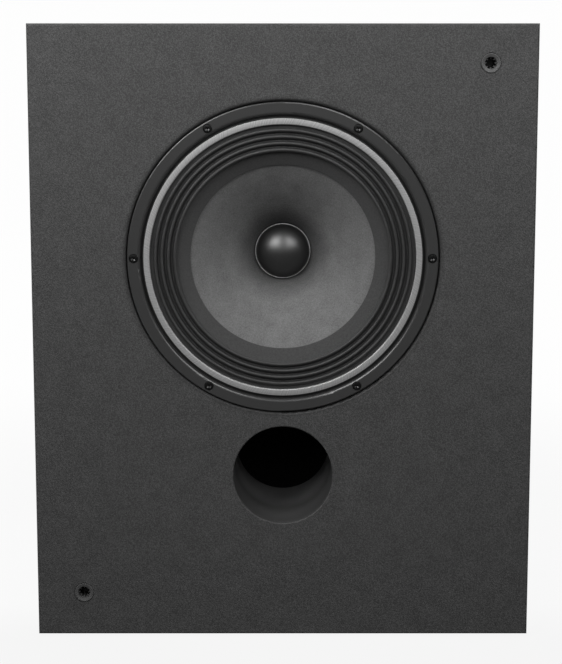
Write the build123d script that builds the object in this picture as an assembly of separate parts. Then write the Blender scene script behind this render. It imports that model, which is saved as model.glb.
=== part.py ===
from build123d import *
import math
import os

# All sizes are in millimetres. The box stands on z = 0 and faces -Y.
# Depths are measured from the front face of the baffle, into the box along +Y.

# Box
cabinet_width = 340
cabinet_height = 420
cabinet_depth = 280
panel_thickness = 18
baffle_thickness = 22
edge_radius = 1.5
brace_thickness = 15
brace_rim = 45
brace_corner_radius = 20
brace_to_back = 97
foot_radius = 8
foot_height = 3
foot_inset = 30
foot_edge = 0.8

# Wadding on the inner walls
pad_thickness = 20
pad_clearance = 3
pad_edge = 5
pad_above_cup = 26

# Driver front, from the flange's edge inwards
flange_radius = 105
flange_thickness = 6
flange_proud = 1
flange_edge = 0.8
flange_roll = 2
flange_rim = 8.5
rebate_gap = 0.4
rebate_roll = 2.2
driver_top_margin = 51.1
groove_width = 2.4
clamp_ring_width = 4.2
clamp_ring_recess = 1
clamp_ring_bevel = 0.8
seat_depth = 4
gasket_thickness = 1
gasket_margin = 0.5
cutout_clearance = 1

# Surround and cone
surround_thickness = 0.6
surround_lip = 0.8
ridge_count = 4
ridge_pitch = 4.37
ridge_margin = 3.8
ridge_recess = 0.4
band_width = 9.5
cone_set_back = 1
cone_drop = 42
cone_flare = 4
cone_thickness = 0.8
glue_gap = 0.2

# Voice coil and dome
former_bore_radius = 18.7
former_wall = 0.4
former_tail = 1
coil_thickness = 0.8
coil_length = 12
coil_gap = 0.45
ring_overhang = 0.5
ring_thickness = 1
dome_height = 12.5
dome_wall = 0.8
dome_skirt = 3.5
dome_sink = 0.6
coil_fit = 0.05

# Spider
spider_thickness = 0.5
spider_ridge_count = 4
spider_pitch = 5.2
spider_collar = 2
spider_behind_neck = 11.5

# Driver frame
skirt_wall = 6
skirt_length = 7
seat_clearance = 0.5
leg_count = 6
leg_width = 14
leg_root = 4
shelf_width = 7
shelf_height = 8
motor_ring_thickness = 4
motor_ring_clearance = 4
boss_depth = 38
boss_length = 14

# Motor
plate_radius = 45
plate_thickness = 6
magnet_radius = 50
magnet_bore_radius = 26
magnet_thickness = 16
vent_radius = 6

# Screws: shank, head and cross slot
driver_screw_count = 6
driver_screw_radius = 1.75
driver_screw_head_radius = 2.7
driver_screw_head_height = 2
driver_screw_length = 19
driver_screw_recess = 0.2
driver_recess_radius = 3.2
slot_width = 0.7
slot_depth = 1.1
screw_fit = 0.02
shank_clearance = 0.25
pilot_spare = 1
frame_screw_count = 4
frame_screw_radius = 2.5
frame_screw_head_radius = 4
frame_screw_head_height = 2.5
cup_screw_radius = 1.5
cup_screw_head_radius = 3
cup_screw_length = 16

# Driver terminals
strip_width = 30
strip_length = 18
strip_thickness = 1.6
strip_set_back = 0.5
tab_spacing = 20
blade_width = 4.8
blade_thickness = 0.8
blade_reach = 10
tab_lap = 10
blade_fit = 0.05

# Port
port_radius = 34
port_wall = 2
port_length = 100
port_set_back = 6
port_lip = 0.8
port_fit = 0.1
port_gap = 8.4

# Grille sockets
socket_flange_radius = 6.5
socket_flange_thickness = 0.8
socket_flange_edge = 0.3
socket_mouth_radius = 4.2
socket_bore_radius = 3.8
socket_wall = 1.2
socket_depth = 14
socket_floor = 1.5
socket_entry = 1.5
socket_fit = 0.1
socket_sink = 0.5
socket_gap = 0.5
socket_dish = 0.5
socket_rim = 0.6
finger_count = 8
finger_width = 0.8
finger_reach = 0.9
socket_inset = 32
upper_socket_drop = 26
lower_socket_rise = 30

# Terminal cup
cup_height_above_base = 110
cup_flange_width = 90
cup_flange_height = 70
cup_flange_thickness = 3
cup_flange_corner = 8
cup_rim = 9
cup_wall = 2.5
cup_depth = 24
cup_floor = 3
cup_clearance = 0.5
cup_gasket_thickness = 1
cup_screw_inset = 4.5

# Binding posts
post_spacing = 19
stud_radius = 3
stud_tail = 15
stud_reach = 22
stud_flange_radius = 5
stud_flange_thickness = 1.5
banana_radius = 2
banana_depth = 12
wire_hole_radius = 1.2
wire_hole_above_flange = 2.2
collar_radius = 7
collar_thickness = 4
collar_edge = 0.6
spigot_radius = 4.2
spigot_fit = 0.1
washer_radius = 6
washer_thickness = 1
washer_gap = 0.1
knob_radius = 6.4
knob_length = 14.8
knob_edge = 0.8
flute_count = 16
flute_radius = 0.6
thread_clearance = 0.3
nut_across_flats = 10
nut_thickness = 5
nut_fit = 0.05
tag_ring_radius = 5.5
tag_clearance = 1.5

# Wiring
wire_radius = 1.25
wire_lead_out = 22
wire_bend_reach = 45
wire_bend_drop = 12
wire_fall_reach = 74
wire_fall_drop = 42
wire_rise_reach = 52
wire_rise_drop = 5
wire_lead_in = 24
tinsel_radius = 0.6
tinsel_lead_out = 17
tinsel_loop_reach = 25
tinsel_loop_rise = 10
tinsel_crest_reach = 22
tinsel_crest_rise = 21
tinsel_end_reach = 5
tinsel_end_drop = 7
connector_width = 6.6
connector_thickness = 2.8
connector_length = 11
connector_mouth = 8
barrel_radius = 2.1
barrel_length = 7
barrel_bore_depth = 5

# Heights and depths that follow from the sizes above
base_z = foot_height
top_z = base_z + cabinet_height
face_y = -(cabinet_depth + cup_gasket_thickness + cup_flange_thickness - flange_proud) / 2
carcase_front = face_y + baffle_thickness
carcase_back = face_y + cabinet_depth
inner_half_width = cabinet_width / 2 - panel_thickness
inner_bottom = base_z + panel_thickness
inner_top = top_z - panel_thickness
inner_back = carcase_back - panel_thickness

flange_front = -flange_proud
flange_back = flange_front + flange_thickness
rebate_depth = flange_back + gasket_thickness
rebate_radius = flange_radius + rebate_gap
groove_radius = flange_radius - flange_rim
screw_circle_radius = (flange_radius + groove_radius) / 2
clamp_outer = groove_radius - groove_width
clamp_inner = clamp_outer - clamp_ring_width
clamp_front = flange_front + clamp_ring_recess
seat = flange_front + seat_depth
driver_z = top_z - driver_top_margin - rebate_radius

ridge_radius = ridge_pitch / 4
ridge_line = clamp_front + ridge_recess + ridge_radius + surround_thickness / 2
outer_ridge = clamp_inner - ridge_margin
inner_ridge = outer_ridge - (ridge_count - 1) * ridge_pitch
surround_outer_foot = outer_ridge + ridge_radius
surround_inner_foot = inner_ridge - ridge_radius

former_radius = former_bore_radius + former_wall
coil_radius = former_radius + coil_fit + coil_thickness
cone_edge_radius = surround_inner_foot + surround_thickness / 2
cone_edge_depth = seat + cone_set_back
neck_radius = former_radius + coil_fit
neck_depth = cone_edge_depth + cone_drop
band_inner_radius = cone_edge_radius - band_width

spider_line = neck_depth + spider_behind_neck
spider_inner_radius = former_radius + glue_gap
spider_inner_foot = spider_inner_radius + spider_collar
spider_outer_foot = spider_inner_foot + (spider_ridge_count - 0.5) * spider_pitch
shelf_inner_radius = spider_outer_foot + spider_thickness / 2 + seat_clearance
shelf_radius = shelf_inner_radius + shelf_width
shelf_front = spider_line + spider_thickness / 2
motor_ring_front = shelf_front + shelf_height
motor_seat = motor_ring_front + motor_ring_thickness
motor_ring_bore = coil_radius + motor_ring_clearance
frame_screw_circle = (motor_ring_bore + shelf_inner_radius) / 2
magnet_front = motor_seat + plate_thickness
yoke_front = magnet_front + magnet_thickness
coil_middle = motor_seat + plate_thickness / 2
former_end = coil_middle + coil_length / 2 + former_tail
former_front = neck_depth - ring_thickness

seat_inner_radius = surround_outer_foot + surround_thickness / 2 + seat_clearance
skirt_radius = seat_inner_radius + skirt_wall
skirt_back = flange_back + skirt_length
cutout_radius = skirt_radius + cutout_clearance

port_hole_radius = port_radius + port_wall + port_fit
port_z = driver_z - rebate_radius - port_gap - port_hole_radius
cup_z = base_z + cup_height_above_base
pocket_width = cup_flange_width - 2 * cup_rim
pocket_height = cup_flange_height - 2 * cup_rim
pocket_corner = cup_flange_corner - cup_wall
flange_seat = cup_gasket_thickness
cup_back = flange_seat + cup_flange_thickness
floor_back = cup_back - cup_depth
floor_front = floor_back - cup_floor

at_driver = Pos(0, face_y, driver_z)
at_port = Pos(0, face_y, port_z)
at_cup = Pos(0, carcase_back, cup_z)
lengthwise = Rot(-90, 0, 0)


# Shapes used again and again


def box(low, high):
    size = [b - a for a, b in zip(low, high)]
    middle = [(a + b) / 2 for a, b in zip(low, high)]
    return Pos(*middle) * Box(*size)


def rod(radius, near, far, x=0, z=0):
    base = (Align.CENTER, Align.CENTER, Align.MIN)
    return Pos(x, near, z) * lengthwise * Cylinder(radius, far - near, align=base)


def pipe(outer, inner, near, far):
    return rod(outer, near, far) - rod(inner, near, far)


def slab(width, height, corner, near, far):
    return Pos(0, near, 0) * lengthwise * extrude(RectangleRounded(width, height, corner), far - near)


def outline(*points):
    return make_face(Polyline(*points, close=True))


def turned(profile):
    return revolve(profile, Axis.Y)


def ring_places(count, radius, first_angle=0):
    angles = [first_angle + 360 * number / count for number in range(count)]
    return [Rot(0, angle, 0) * Pos(radius, 0, 0) for angle in angles]


def spread(piece, places):
    return Compound(children=[place * piece for place in places])


def cross_slot(head_radius, top, bottom):
    length = 1.3 * head_radius
    bar = box((-length / 2, top, -slot_width / 2), (length / 2, bottom, slot_width / 2))
    return bar + Rot(0, 90, 0) * bar


# A ribbed cloth strip seen in section: half circles up and down along one line
def ripple(first_foot, count, pitch, line, thickness):
    middle_radius = pitch / 4
    front = []
    back = []
    for number in range(2 * count - 1):
        centre = first_foot + (2 * number + 1) * middle_radius
        side = -1 if number % 2 == 0 else 1
        for edge, radius in (
            (front, middle_radius - side * thickness / 2),
            (back, middle_radius + side * thickness / 2),
        ):
            start = (centre - radius, line)
            top = (centre, line + side * radius)
            end = (centre + radius, line)
            edge.append(ThreePointArc(start, top, end))
    ends = [Line(front[0] @ 0, back[0] @ 0), Line(front[-1] @ 1, back[-1] @ 1)]
    return make_face(front + back + ends)


# The cone's wall is an arc between its neck and its edge, with the arc's centre behind the cone
neck = Vector(neck_radius, neck_depth)
edge = Vector(cone_edge_radius, cone_edge_depth)
chord = edge - neck
cone_arc_radius = chord.length ** 2 / (8 * cone_flare) + cone_flare / 2
cone_arc_side = Vector(-chord.Y, chord.X).normalized()
cone_arc_centre = (neck + edge) / 2 + cone_arc_side * (cone_arc_radius - cone_flare)


def cone_depth(radius, lift):
    across = cone_arc_centre.X - radius
    return cone_arc_centre.Y - math.sqrt((cone_arc_radius + lift) ** 2 - across ** 2)


def cone_layer(inner, outer, lift, thickness):
    half_way = (inner + outer) / 2
    curves = []
    for height in (lift, lift + thickness):
        places = [(radius, cone_depth(radius, height)) for radius in (inner, half_way, outer)]
        curves.append(ThreePointArc(*places))
    ends = [Line(curves[0] @ end, curves[1] @ end) for end in (0, 1)]
    return make_face(curves + ends)


# A cord in straight runs and arcs, each arc as large as the runs beside it allow
def cord(name, points, radius):
    stops = [Vector(*point) for point in points]
    runs = [after - before for before, after in zip(stops, stops[1:])]
    bends = []
    for before, after in zip(runs, runs[1:]):
        turn = math.radians(before.get_angle(after))
        bends.append(0.45 * min(before.length, after.length) / math.tan(turn / 2))
    print(name, "bend radii", [round(bend, 1) for bend in bends])
    path = FilletPolyline(*stops, radius=bends)
    section = Plane(origin=path @ 0, z_dir=path % 0) * Circle(radius)
    return sweep(section, path=path)


# Box panels


def socket_places():
    side = cabinet_width / 2 - socket_inset
    upper = Pos(side, face_y + socket_sink, top_z - upper_socket_drop)
    lower = Pos(-side, face_y + socket_sink, base_z + lower_socket_rise)
    return upper, lower


def front_baffle():
    half = cabinet_width / 2
    panel = box((-half, face_y, base_z), (half, carcase_front, top_z))
    panel = fillet(panel.faces().sort_by(Axis.Y)[0].edges(), edge_radius)
    panel -= at_driver * rod(rebate_radius, 0, rebate_depth)
    panel -= at_driver * rod(cutout_radius, 0, baffle_thickness)
    panel -= at_port * rod(port_radius, 0, port_set_back)
    panel -= at_port * rod(port_hole_radius, port_set_back, baffle_thickness)
    rings = panel.edges().filter_by(GeomType.CIRCLE).filter_by(lambda ring: ring.center().Y < face_y + 1e-6)
    panel = fillet(rings.filter_by(lambda ring: abs(ring.radius - port_radius) < 1e-6), port_lip)
    rings = panel.edges().filter_by(GeomType.CIRCLE).filter_by(lambda ring: ring.center().Y < face_y + 1e-6)
    panel = fillet(rings.filter_by(lambda ring: abs(ring.radius - rebate_radius) < 1e-6), rebate_roll)
    pilot = rod(driver_screw_radius + screw_fit, rebate_depth, driver_screw_end + pilot_spare)
    for place in ring_places(driver_screw_count, screw_circle_radius):
        panel -= at_driver * place * pilot
    barrel = rod(socket_bore_radius + socket_wall + socket_fit, 0, socket_depth + socket_fit)
    flange_seat = rod(socket_flange_radius + socket_gap, -socket_sink, 0)
    for place in socket_places():
        panel -= place * (barrel + flange_seat)
    return panel


def level_panel(low_z, outer_z):
    half = cabinet_width / 2
    panel = box((-half, carcase_front, low_z), (half, carcase_back, low_z + panel_thickness))
    long_edges = panel.edges().filter_by(Axis.Y).filter_by(lambda line: abs(line.center().Z - outer_z) < 1e-6)
    back_edge = panel.edges().filter_by(Axis.X).filter_by(
        lambda line: abs(line.center().Z - outer_z) < 1e-6 and line.center().Y > 0
    )
    return fillet(long_edges + back_edge, edge_radius)


def side_panel(side):
    inner = side * inner_half_width
    outer = side * cabinet_width / 2
    low = (min(inner, outer), carcase_front, inner_bottom)
    high = (max(inner, outer), carcase_back, inner_top)
    panel = box(low, high)
    back_edge = panel.edges().filter_by(Axis.Z).filter_by(
        lambda line: abs(line.center().X - outer) < 1e-6 and line.center().Y > 0
    )
    return fillet(back_edge, edge_radius)


def back_panel():
    low = (-inner_half_width, inner_back, inner_bottom)
    high = (inner_half_width, carcase_back, inner_top)
    panel = box(low, high)
    hole = slab(
        pocket_width + 2 * (cup_wall + cup_clearance),
        pocket_height + 2 * (cup_wall + cup_clearance),
        pocket_corner + cup_wall + cup_clearance,
        -panel_thickness,
        0,
    )
    panel -= at_cup * hole
    pilot = rod(cup_screw_radius + screw_fit, cup_back - cup_screw_length - pilot_spare, 0)
    for place in cup_screw_places():
        panel -= at_cup * place * pilot
    return panel


def window_brace():
    back = inner_back - brace_to_back
    low = (-inner_half_width, back - brace_thickness, inner_bottom)
    high = (inner_half_width, back, inner_top)
    width = 2 * (inner_half_width - brace_rim)
    height = inner_top - inner_bottom - 2 * brace_rim
    window = slab(width, height, brace_corner_radius, back - brace_thickness, back)
    return box(low, high) - Pos(0, 0, (inner_bottom + inner_top) / 2) * window


def rubber_feet():
    base = (Align.CENTER, Align.CENTER, Align.MIN)
    foot = Cylinder(foot_radius, foot_height, align=base)
    foot = fillet(foot.edges().sort_by(Axis.Z)[0], foot_edge)
    across = cabinet_width / 2 - foot_inset
    places = []
    for x in (-across, across):
        for y in (face_y + foot_inset, carcase_back - foot_inset):
            places.append(Pos(x, y, 0))
    return spread(foot, places)


# Wadding: low pads with rounded front edges, glued to the inner walls


def pad(low, high, facing):
    block = box(low, high)
    return fillet(block.faces().sort_by(facing)[-1].edges(), pad_edge)


def side_pad(side):
    wall = side * inner_half_width
    face = wall - side * pad_thickness
    low = (min(wall, face), inner_back - brace_to_back + pad_clearance, inner_bottom + pad_clearance)
    high = (max(wall, face), inner_back - pad_clearance, inner_top - pad_clearance)
    facing = Axis.X if side < 0 else Axis((0, 0, 0), (-1, 0, 0))
    return pad(low, high, facing)


def back_pad():
    half = inner_half_width - pad_thickness - pad_clearance
    low = (-half, inner_back - pad_thickness, cup_z + cup_flange_height / 2 + pad_above_cup)
    high = (half, inner_back, inner_top - pad_clearance)
    return pad(low, high, Axis((0, 0, 0), (0, -1, 0)))


# Port and grille sockets


def port_tube():
    return at_port * pipe(port_radius + port_wall, port_radius, port_set_back, port_length)


def grille_socket():
    barrel = rod(socket_bore_radius + socket_wall, 0, socket_depth)
    flange = rod(socket_flange_radius, -socket_flange_thickness, 0)
    flange = fillet(flange.edges().sort_by(Axis.Y)[0], socket_flange_edge)
    bore_end = socket_depth - socket_floor
    dish_floor = socket_dish - socket_flange_thickness
    dish = turned(outline(
        (0, -socket_flange_thickness),
        (socket_flange_radius - socket_rim, -socket_flange_thickness),
        (socket_mouth_radius, dish_floor),
        (0, dish_floor),
    ))
    body = barrel + flange - dish - rod(socket_mouth_radius, dish_floor, socket_entry)
    body -= rod(socket_bore_radius, socket_entry, bore_end)
    tip = socket_bore_radius - finger_reach
    root = socket_bore_radius + socket_wall / 2
    finger = box((tip, socket_entry, -finger_width / 2), (root, bore_end, finger_width / 2))
    for place in ring_places(finger_count, 0):
        body += place * finger
    return body


# Driver frame, with its flange in front and the motor's seat behind


def leg_line(depth):
    drop = (depth - skirt_back - leg_root) / (motor_ring_front - skirt_back - leg_root)
    return skirt_radius + (shelf_radius - skirt_radius) * drop


boss_radius = leg_line(boss_depth)
boss_end = boss_depth + boss_length


def driver_frame():
    flange = turned(outline(
        (seat_inner_radius, seat),
        (groove_radius, seat),
        (groove_radius, flange_front),
        (flange_radius, flange_front),
        (flange_radius, flange_back),
        (skirt_radius, flange_back),
        (skirt_radius, skirt_back),
        (seat_inner_radius, skirt_back),
    ))
    flange = fillet(flange.edges().group_by(Axis.Y)[0].sort_by(SortBy.RADIUS)[0], flange_roll)
    flange = fillet(flange.edges().group_by(Axis.Y)[0].sort_by(SortBy.RADIUS)[-1], flange_edge)
    motor_ring = pipe(shelf_radius, motor_ring_bore, motor_ring_front, motor_seat)
    shelf = pipe(shelf_radius, shelf_inner_radius, shelf_front, motor_ring_front)
    leg_shape = outline(
        (seat_inner_radius, skirt_back - leg_root),
        (skirt_radius, skirt_back - leg_root),
        (skirt_radius, skirt_back + leg_root),
        (shelf_radius, motor_ring_front),
        (shelf_radius - skirt_wall, motor_ring_front),
        (shelf_radius, shelf_front),
    )
    leg = extrude(leg_shape, leg_width / 2, both=True)
    frame = flange + motor_ring + shelf
    for place in ring_places(leg_count, 0, 90):
        frame += place * leg
    boss_shape = outline(
        (boss_radius, boss_depth),
        (boss_radius, boss_end),
        (leg_line(boss_end) - leg_root, boss_end),
    )
    frame += Rot(0, 90, 0) * extrude(boss_shape, leg_width / 2, both=True)
    recess = rod(driver_recess_radius, flange_front, driver_head_seat)
    clearance_hole = rod(driver_screw_radius + shank_clearance, driver_head_seat, flange_back)
    for place in ring_places(driver_screw_count, screw_circle_radius):
        frame -= place * recess
        frame -= place * clearance_hole
    motor_hole = rod(frame_screw_radius + shank_clearance, motor_ring_front, motor_seat)
    for place in ring_places(frame_screw_count, frame_screw_circle, 45):
        frame -= place * motor_hole
    return at_driver * frame


def driver_gasket():
    sheet = pipe(flange_radius - gasket_margin, cutout_radius + gasket_margin, flange_back, rebate_depth)
    hole = rod(driver_screw_radius + shank_clearance, flange_back, rebate_depth)
    for place in ring_places(driver_screw_count, screw_circle_radius):
        sheet -= place * hole
    return at_driver * sheet


def clamp_ring():
    back = seat - surround_thickness
    return at_driver * turned(outline(
        (clamp_inner, clamp_front + clamp_ring_bevel),
        (clamp_inner + clamp_ring_bevel, clamp_front),
        (clamp_outer - clamp_ring_bevel / 2, clamp_front),
        (clamp_outer, clamp_front + clamp_ring_bevel / 2),
        (clamp_outer, back),
        (clamp_inner, back),
    ))


driver_head_seat = flange_front + driver_screw_recess + driver_screw_head_height
driver_screw_end = flange_front + driver_screw_length


def driver_screws():
    top = flange_front + driver_screw_recess
    screw = rod(driver_screw_head_radius, top, driver_head_seat)
    screw = fillet(screw.edges().sort_by(Axis.Y)[0], driver_screw_head_height / 4)
    screw += rod(driver_screw_radius, driver_head_seat, driver_screw_end)
    screw -= cross_slot(driver_screw_head_radius, top, top + slot_depth)
    places = ring_places(driver_screw_count, screw_circle_radius)
    return spread(screw, [at_driver * place for place in places])


# Surround, cone and dome


def surround():
    half = surround_thickness / 2
    ridges = ripple(surround_inner_foot, ridge_count, ridge_pitch, ridge_line, surround_thickness)
    lip = outline(
        (surround_outer_foot - half, ridge_line),
        (surround_outer_foot + half, ridge_line),
        (surround_outer_foot + half, seat - surround_thickness),
        (clamp_outer + surround_lip, seat - surround_thickness),
        (clamp_outer + surround_lip, seat),
        (surround_outer_foot - half, seat),
    )
    foot = outline(
        (surround_inner_foot - half, ridge_line),
        (surround_inner_foot + half, ridge_line),
        (surround_inner_foot + half, cone_depth(cone_edge_radius, glue_gap)),
        (surround_inner_foot - half, cone_depth(cone_edge_radius, glue_gap)),
    )
    band = cone_layer(band_inner_radius, cone_edge_radius, glue_gap, surround_thickness)
    return at_driver * turned(ridges + lip + foot + band)


def cone():
    return at_driver * turned(cone_layer(neck_radius, cone_edge_radius, -cone_thickness, cone_thickness))


def dust_cap():
    radius = former_bore_radius - coil_fit
    base = former_front - dome_sink
    top = base - dome_height
    ball = (radius ** 2 + dome_height ** 2) / (2 * dome_height)
    inner_ball = ball - dome_wall
    inner_radius = radius - dome_wall
    inner_base = top + ball - math.sqrt(inner_ball ** 2 - inner_radius ** 2)

    def on_ball(size, angle):
        return (size * math.sin(angle), top + ball - size * math.cos(angle))

    outer_angle = math.asin(radius / ball)
    inner_angle = math.asin(inner_radius / inner_ball)
    curves = [
        ThreePointArc(on_ball(ball, 0), on_ball(ball, outer_angle / 2), (radius, base)),
        Polyline(
            (radius, base),
            (radius, base + dome_skirt),
            (inner_radius, base + dome_skirt),
            (inner_radius, inner_base),
        ),
        ThreePointArc(
            (inner_radius, inner_base),
            on_ball(inner_ball, inner_angle / 2),
            on_ball(inner_ball, 0),
        ),
        Line(on_ball(inner_ball, 0), on_ball(ball, 0)),
    ]
    return at_driver * turned(make_face(curves))


def dust_cap_ring():
    front = former_front - ring_thickness
    return at_driver * pipe(former_radius + ring_overhang, former_bore_radius, front, former_front)


def voice_coil_former():
    return at_driver * pipe(former_radius, former_bore_radius, former_front, former_end)


def voice_coil():
    front = coil_middle - coil_length / 2
    return at_driver * pipe(coil_radius, former_radius + coil_fit, front, front + coil_length)


def spider():
    half = spider_thickness / 2
    cloth = ripple(spider_inner_foot, spider_ridge_count, spider_pitch, spider_line, spider_thickness)
    cloth += outline(
        (spider_inner_radius, spider_line - half),
        (spider_inner_foot + half, spider_line - half),
        (spider_inner_foot + half, spider_line + half),
        (spider_inner_radius, spider_line + half),
    )
    cloth += outline(
        (spider_outer_foot - half, spider_line - half),
        (shelf_radius - seat_clearance, spider_line - half),
        (shelf_radius - seat_clearance, spider_line + half),
        (spider_outer_foot - half, spider_line + half),
    )
    return at_driver * turned(cloth)


# Motor


def top_plate():
    plate = pipe(plate_radius, coil_radius + coil_gap, motor_seat, magnet_front)
    hole = rod(frame_screw_radius + screw_fit, motor_seat, magnet_front)
    for place in ring_places(frame_screw_count, frame_screw_circle, 45):
        plate -= place * hole
    return at_driver * plate


def magnet():
    return at_driver * pipe(magnet_radius, magnet_bore_radius, magnet_front, yoke_front)


def yoke():
    yoke_back = yoke_front + plate_thickness
    disc = rod(plate_radius, yoke_front, yoke_back)
    pole = rod(former_bore_radius - coil_gap, motor_seat, yoke_front)
    return at_driver * (disc + pole - rod(vent_radius, motor_seat, yoke_back))


def frame_screws():
    top = motor_ring_front - frame_screw_head_height
    screw = rod(frame_screw_head_radius, top, motor_ring_front)
    screw += rod(frame_screw_radius, motor_ring_front, magnet_front)
    screw -= cross_slot(frame_screw_head_radius, top, top + slot_depth)
    places = ring_places(frame_screw_count, frame_screw_circle, 45)
    return spread(screw, [at_driver * place for place in places])


# Driver terminals, on the boss of the leg that points down

strip_front = boss_depth + strip_set_back
strip_back = strip_front + strip_length
strip_z = -boss_radius - strip_thickness
tab_z = strip_z - blade_thickness
tab_sides = (-tab_spacing / 2, tab_spacing / 2)


def driver_terminal_strip():
    half = strip_width / 2
    return at_driver * box((-half, strip_front, strip_z), (half, strip_back, -boss_radius))


def driver_tabs():
    half = blade_width / 2
    blades = []
    for x in tab_sides:
        low = (x - half, strip_back - tab_lap, tab_z)
        high = (x + half, strip_back + blade_reach, strip_z)
        blades.append(at_driver * box(low, high))
    return Compound(children=blades)


def tinsel_leads():
    start_y = strip_back - tab_lap
    start_z = strip_z - tinsel_radius - blade_fit
    end_radius = (band_inner_radius + neck_radius) / 2
    leads = []
    for x in tab_sides:
        end_z = -math.sqrt(end_radius ** 2 - x ** 2)
        end_y = cone_depth(end_radius, -cone_thickness) + glue_gap + tinsel_radius
        points = [
            (x, start_y, start_z),
            (x, start_y - tinsel_lead_out, start_z),
            (x, start_y - tinsel_loop_reach, start_z + tinsel_loop_rise),
            (x, start_y - tinsel_crest_reach, start_z + tinsel_crest_rise),
            (x, end_y + tinsel_end_reach, end_z - tinsel_end_drop),
            (x, end_y, end_z),
        ]
        leads.append(at_driver * cord("tinsel lead", points, tinsel_radius))
    return Compound(children=leads)


# Terminal cup in the back panel


def cup_screw_places():
    x = cup_flange_width / 2 - cup_screw_inset
    z = cup_flange_height / 2 - cup_screw_inset
    return [Pos(side * x, 0, rise * z) for side in (-1, 1) for rise in (-1, 1)]


def countersunk(clearance):
    cone_length = cup_screw_head_radius - cup_screw_radius
    shank = cup_screw_radius + clearance
    head = cup_screw_head_radius + clearance
    return outline(
        (0, cup_back),
        (head, cup_back),
        (shank, cup_back - cone_length),
        (shank, cup_back - cup_screw_length),
        (0, cup_back - cup_screw_length),
    )


def terminal_cup():
    wall_height = pocket_height + 2 * cup_wall
    wall_width = pocket_width + 2 * cup_wall
    cup = slab(cup_flange_width, cup_flange_height, cup_flange_corner, flange_seat, cup_back)
    cup += slab(wall_width, wall_height, pocket_corner + cup_wall, floor_front, flange_seat)
    cup -= slab(pocket_width, pocket_height, pocket_corner, floor_back, cup_back)
    for place in post_places():
        cup -= place * rod(spigot_radius + spigot_fit, floor_front, floor_back)
    for place in cup_screw_places():
        cup -= place * turned(countersunk(screw_fit))
    return at_cup * cup


def terminal_gasket():
    sheet = slab(cup_flange_width, cup_flange_height, cup_flange_corner, 0, flange_seat)
    sheet -= slab(
        pocket_width + 2 * (cup_wall + cup_clearance),
        pocket_height + 2 * (cup_wall + cup_clearance),
        pocket_corner + cup_wall + cup_clearance,
        0,
        flange_seat,
    )
    for place in cup_screw_places():
        sheet -= place * rod(cup_screw_radius + shank_clearance, 0, flange_seat)
    return at_cup * sheet


def terminal_screws():
    screw = turned(countersunk(0))
    slot_bottom = cup_back - slot_depth
    screw -= cross_slot(cup_screw_head_radius, slot_bottom, cup_back)
    return spread(screw, [at_cup * place for place in cup_screw_places()])


# Binding posts, built round the point where each one stands on the cup's floor

post_flange = collar_thickness
tag_blade_rise = nut_across_flats / math.sqrt(3) + tag_clearance
tag_blade_end = -cup_floor - blade_thickness - nut_thickness - tag_clearance - blade_reach
washer_front = post_flange + stud_flange_thickness + washer_gap
knob_front = washer_front + washer_thickness + washer_gap


def post_places():
    return [Pos(side * post_spacing / 2, 0, 0) for side in (-1, 1)]


def at_post(side):
    return at_cup * Pos(side * post_spacing / 2, floor_back, 0)


def post_stud(side):
    flange_end = post_flange + stud_flange_thickness
    stud = rod(stud_radius, -cup_floor - stud_tail, stud_reach)
    stud += rod(stud_flange_radius, post_flange, flange_end)
    stud -= rod(banana_radius, stud_reach - banana_depth, stud_reach)
    hole_y = flange_end + wire_hole_above_flange
    stud -= Pos(0, hole_y, 0) * Cylinder(wire_hole_radius, 4 * stud_radius)
    return at_post(side) * stud


def post_collar(side):
    collar = rod(collar_radius, 0, post_flange)
    collar = fillet(collar.edges().sort_by(Axis.Y)[-1], collar_edge)
    collar += rod(spigot_radius, -cup_floor, 0)
    return at_post(side) * (collar - rod(stud_radius + nut_fit, -cup_floor, post_flange))


def post_washer(side):
    ring = pipe(washer_radius, stud_radius + thread_clearance, washer_front, washer_front + washer_thickness)
    return at_post(side) * ring


def post_knob(side):
    end = knob_front + knob_length
    knob = rod(knob_radius, knob_front, end)
    knob = chamfer(knob.edges().sort_by(Axis.Y)[-1], knob_edge)
    flute = rod(flute_radius, knob_front, end)
    for place in ring_places(flute_count, knob_radius):
        knob -= place * flute
    return at_post(side) * (knob - rod(stud_radius + thread_clearance, knob_front, end))


def post_tags():
    back = -cup_floor
    front = back - blade_thickness
    tag = rod(tag_ring_radius, front, back)
    tag += box((-blade_width / 2, front, 0), (blade_width / 2, back, tag_blade_rise + blade_thickness))
    tag += box(
        (-blade_width / 2, tag_blade_end, tag_blade_rise),
        (blade_width / 2, back, tag_blade_rise + blade_thickness),
    )
    tag -= rod(stud_radius + nut_fit, front, back)
    return spread(tag, [at_post(side) for side in (-1, 1)])


def post_nuts():
    back = -cup_floor - blade_thickness
    hexagon = RegularPolygon(nut_across_flats / 2, 6, major_radius=False)
    nut = Pos(0, back - nut_thickness, 0) * lengthwise * extrude(hexagon, nut_thickness)
    nut -= rod(stud_radius + nut_fit, back - nut_thickness, back)
    return spread(nut, [at_post(side) for side in (-1, 1)])


# Wiring: a push-on connector at each end of each wire


def spade_connector():
    shell = box(
        (-connector_width / 2, 0, -connector_thickness / 2),
        (connector_width / 2, connector_length, connector_thickness / 2),
    )
    shell += rod(barrel_radius, connector_length, connector_length + barrel_length)
    shell -= box(
        (-blade_width / 2 - blade_fit, 0, -blade_thickness / 2 - blade_fit),
        (blade_width / 2 + blade_fit, connector_mouth + blade_fit, blade_thickness / 2 + blade_fit),
    )
    end = connector_length + barrel_length
    return shell - rod(wire_radius + blade_fit, end - barrel_bore_depth, end)


def driver_connector_place(x):
    blade_end = strip_back + blade_reach
    return at_driver * Pos(x, blade_end - connector_mouth, tab_z + blade_thickness / 2)


def post_connector_place(side):
    mouth = tag_blade_end + connector_mouth
    return at_post(side) * Pos(0, mouth, tag_blade_rise + blade_thickness / 2) * Rot(0, 0, 180)


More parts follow.
